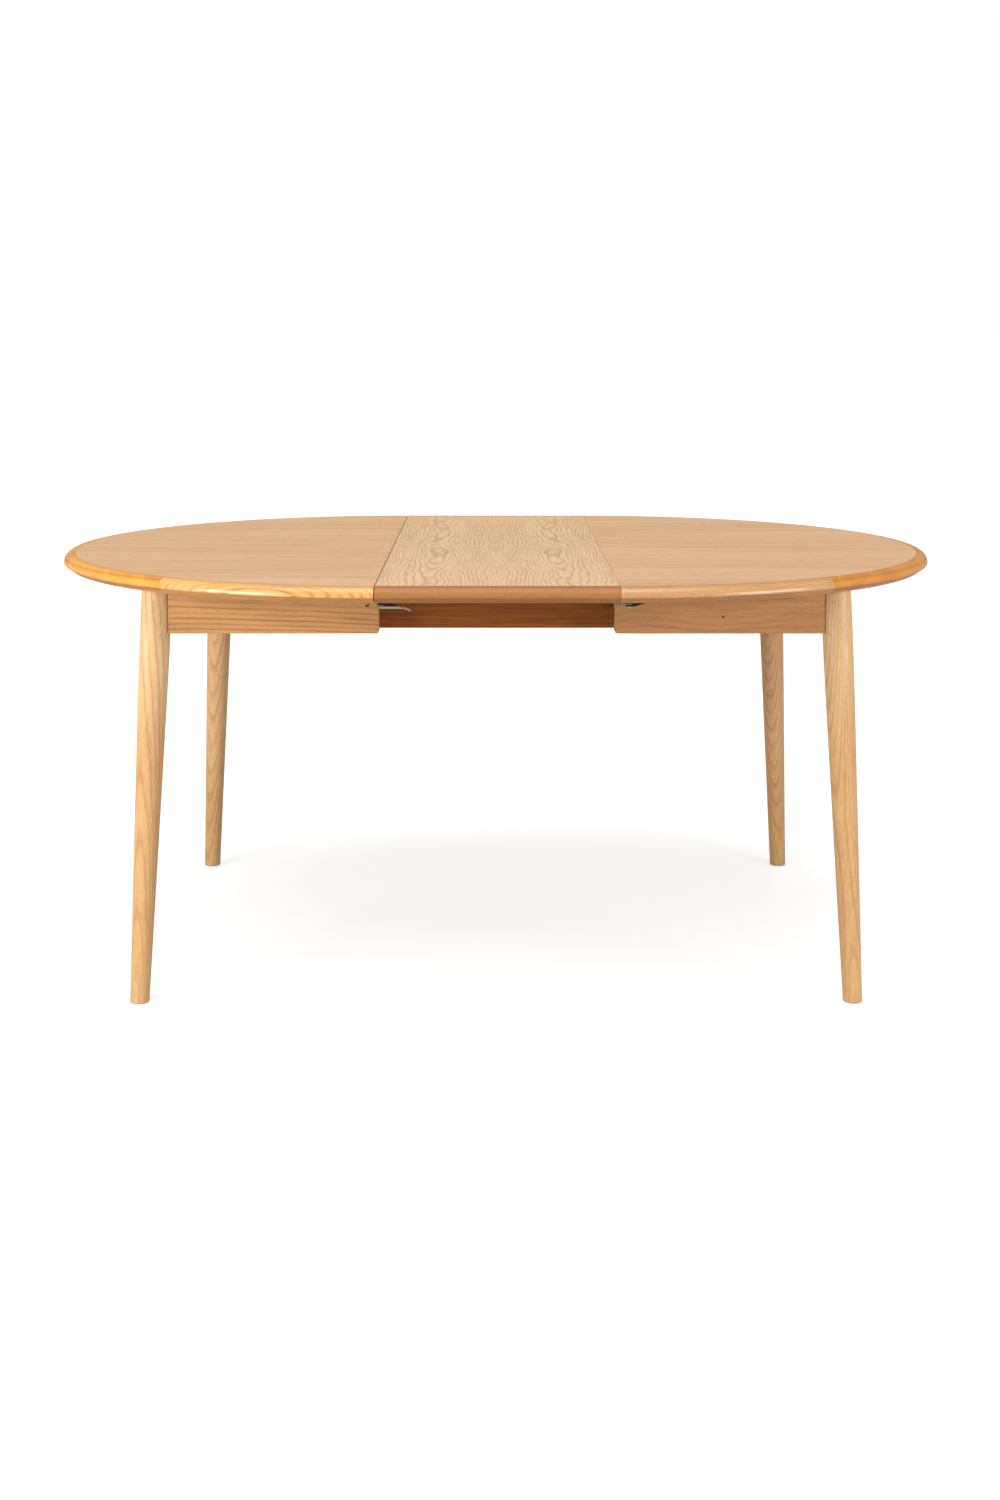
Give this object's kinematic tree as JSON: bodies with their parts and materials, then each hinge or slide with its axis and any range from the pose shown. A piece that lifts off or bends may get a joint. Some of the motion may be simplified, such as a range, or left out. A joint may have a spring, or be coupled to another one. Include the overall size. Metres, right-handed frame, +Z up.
{
  "type": "extending dining table",
  "caption": "Round wooden dining table drawn open to an oval around a folding centre leaf, on splayed turned legs, with rails, pinion-linked halves and toggle latches under the seams.",
  "frame": {"origin": "on the floor under the middle of the open table", "axes": "+X along the open table, +Y to its back, +Z up"},
  "size_m": [1.65, 1.25, 0.75],
  "materials": {
    "veneer": "satin lacquered straight-grained veneer",
    "leaf_veneer": "satin lacquered crown-cut veneer",
    "solid_wood": "satin lacquered solid wood",
    "apron_wood": "satin lacquered solid wood",
    "leg_wood": "satin lacquered solid wood",
    "frame_wood": "oiled solid wood",
    "steel": "zinc plated",
    "brass": "satin"
  },
  "bodies": {
    "centre_frame": {"front_rail": "frame_wood", "back_rail": "frame_wood", "left_bearer": "frame_wood", "right_bearer": "frame_wood", "gear_channel": "frame_wood", "gear_axle": "steel"},
    "left_half": {"left_top": "veneer", "left_tip_lipping": "solid_wood", "left_front_lipping": "solid_wood", "left_back_lipping": "solid_wood", "left_end_apron": "apron_wood", "left_rack": "steel", "left_front_apron": "apron_wood", "left_front_leg": "leg_wood", "left_front_corner_block": "frame_wood", "left_front_runner": "frame_wood", "left_back_apron": "apron_wood", "left_back_leg": "leg_wood", "left_back_corner_block": "frame_wood", "left_back_runner": "frame_wood", "left_front_keeper": "steel", "left_back_keeper": "steel"},
    "right_half": {"right_top": "veneer", "right_tip_lipping": "solid_wood", "right_front_lipping": "solid_wood", "right_back_lipping": "solid_wood", "right_end_apron": "apron_wood", "right_rack": "steel", "right_front_apron": "apron_wood", "right_front_leg": "leg_wood", "right_front_corner_block": "frame_wood", "right_front_runner": "frame_wood", "right_back_apron": "apron_wood", "right_back_leg": "leg_wood", "right_back_corner_block": "frame_wood", "right_back_runner": "frame_wood", "right_front_latch_base": "steel", "right_back_latch_base": "steel"},
    "pinion": {"pinion": "steel"},
    "leaf_front": {"leaf_front_panel": "leaf_veneer", "leaf_front_lipping": "solid_wood", "leaf_front_left_hinge_cup": "brass", "leaf_front_right_hinge_cup": "brass", "left_front_latch_base": "steel", "right_front_keeper": "steel"},
    "leaf_back": {"leaf_back_panel": "leaf_veneer", "leaf_back_lipping": "solid_wood", "leaf_back_left_hinge_cup": "brass", "leaf_back_right_hinge_cup": "brass", "left_back_latch_base": "steel", "right_back_keeper": "steel"},
    "left_front_lever": {"left_front_lever": "steel"},
    "left_front_bail": {"left_front_bail": "steel"},
    "left_back_lever": {"left_back_lever": "steel"},
    "left_back_bail": {"left_back_bail": "steel"},
    "right_front_lever": {"right_front_lever": "steel"},
    "right_front_bail": {"right_front_bail": "steel"},
    "right_back_lever": {"right_back_lever": "steel"},
    "right_back_bail": {"right_back_bail": "steel"}
  },
  "joints": [
    {"name": "left_slide", "type": "slide", "parent": "centre_frame", "child": "left_half", "axis": [-1, 0, 0], "range_m": [0, 0.015]},
    {"name": "right_slide", "type": "slide", "parent": "centre_frame", "child": "right_half", "axis": [1, 0, 0], "range_m": [0, 0.015]},
    {"name": "pinion_spin", "type": "hinge", "parent": "centre_frame", "child": "pinion", "pos_m": [0, 0, 0.605], "axis": [0, 0, 1], "range_deg": [0, 72]},
    {"name": "leaf_lift", "type": "slide", "parent": "centre_frame", "child": "leaf_front", "axis": [0, 0, 1], "range_m": [0, 0.12]},
    {"name": "leaf_fold", "type": "hinge", "parent": "leaf_front", "child": "leaf_back", "pos_m": [0, 0, 0.7502], "axis": [1, 0, 0], "range_deg": [0, 180]},
    {"name": "left_front_lever_turn", "type": "hinge", "parent": "leaf_front", "child": "left_front_lever", "pos_m": [-0.193, -0.55, 0.7125], "axis": [0, 1, 0], "range_deg": [-18, 82]},
    {"name": "left_front_bail_turn", "type": "hinge", "parent": "left_front_lever", "child": "left_front_bail", "pos_m": [-0.186, -0.55, 0.7115], "axis": [0, 1, 0], "range_deg": [-82, 18]},
    {"name": "left_back_lever_turn", "type": "hinge", "parent": "leaf_back", "child": "left_back_lever", "pos_m": [-0.193, 0.55, 0.7125], "axis": [0, 1, 0], "range_deg": [-18, 82]},
    {"name": "left_back_bail_turn", "type": "hinge", "parent": "left_back_lever", "child": "left_back_bail", "pos_m": [-0.186, 0.55, 0.7115], "axis": [0, 1, 0], "range_deg": [-82, 18]},
    {"name": "right_front_lever_turn", "type": "hinge", "parent": "right_half", "child": "right_front_lever", "pos_m": [0.215, -0.55, 0.7125], "axis": [0, 1, 0], "range_deg": [0, 100]},
    {"name": "right_front_bail_turn", "type": "hinge", "parent": "right_front_lever", "child": "right_front_bail", "pos_m": [0.22197, -0.55, 0.71371], "axis": [0, 1, 0], "range_deg": [-100, 0]},
    {"name": "right_back_lever_turn", "type": "hinge", "parent": "right_half", "child": "right_back_lever", "pos_m": [0.215, 0.55, 0.7125], "axis": [0, 1, 0], "range_deg": [0, 100]},
    {"name": "right_back_bail_turn", "type": "hinge", "parent": "right_back_lever", "child": "right_back_bail", "pos_m": [0.22197, 0.55, 0.71371], "axis": [0, 1, 0], "range_deg": [-100, 0]}
  ],
  "couplings": [
    {"joint": "right_slide", "follows": "left_slide", "ratio": 1},
    {"joint": "pinion_spin", "follows": "left_slide", "rad_per_m": 83.333},
    {"joint": "left_front_bail_turn", "follows": "left_front_lever_turn", "ratio": -1},
    {"joint": "left_back_bail_turn", "follows": "left_back_lever_turn", "ratio": -1},
    {"joint": "right_front_bail_turn", "follows": "right_front_lever_turn", "ratio": -1},
    {"joint": "right_back_bail_turn", "follows": "right_back_lever_turn", "ratio": -1}
  ]
}
